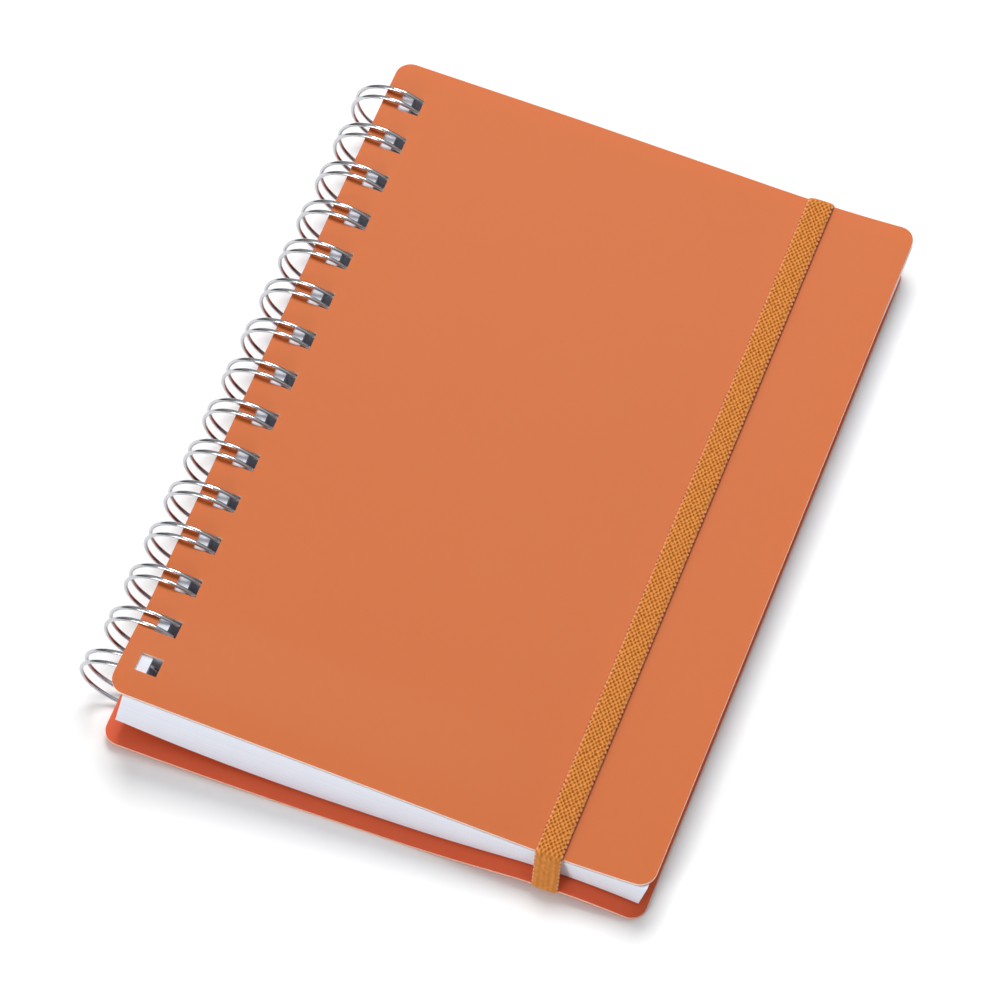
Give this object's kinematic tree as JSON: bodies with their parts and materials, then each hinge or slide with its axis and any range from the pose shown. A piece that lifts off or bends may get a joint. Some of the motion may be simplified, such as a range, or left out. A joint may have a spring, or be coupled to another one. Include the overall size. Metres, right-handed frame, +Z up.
{
  "type": "daily planner",
  "caption": "Twin-loop bound planner with two flexible plastic covers, a block of blank leaves and an elastic closing band.",
  "frame": {"origin": "centre of the footprint, at the height of the flat middle of the back cover that it rests on", "axes": "+Y along the bound edge towards the head, +X across the leaves from the bound edge to the fore edge, +Z up through the front cover"},
  "size_m": [0.1546, 0.2058, 0.025],
  "materials": {
    "cover_plastic": "satin orange, slightly translucent polypropylene",
    "cover_plastic_back": "satin orange polypropylene, seen in shade",
    "paper": "uncoated white",
    "binding_wire": "bright silver coated wire",
    "elastic": "knitted elastic",
    "rivet_metal": "plain nickelled"
  },
  "bodies": {
    "back": {"back_cover": "cover_plastic_back", "elastic_band": "elastic", "elastic_rivet_head": "rivet_metal", "elastic_rivet_tail": "rivet_metal"},
    "block": {"page_block": "paper", "twin_loop_wire": "binding_wire"},
    "front": {"front_cover": "cover_plastic"}
  },
  "joints": [
    {"name": "back_cover_hinge", "type": "hinge", "parent": "back", "child": "block", "pos_m": [-0.06498, 0.00061, 0.0126], "axis": [0, -1, 0], "range_deg": [0, 130], "deforming": ["elastic_band"]},
    {"name": "front_cover_hinge", "type": "hinge", "parent": "block", "child": "front", "pos_m": [-0.06409, 0.00061, 0.02271], "axis": [0, -1, 0], "range_deg": [0, 180], "deforming": ["elastic_band"]}
  ]
}
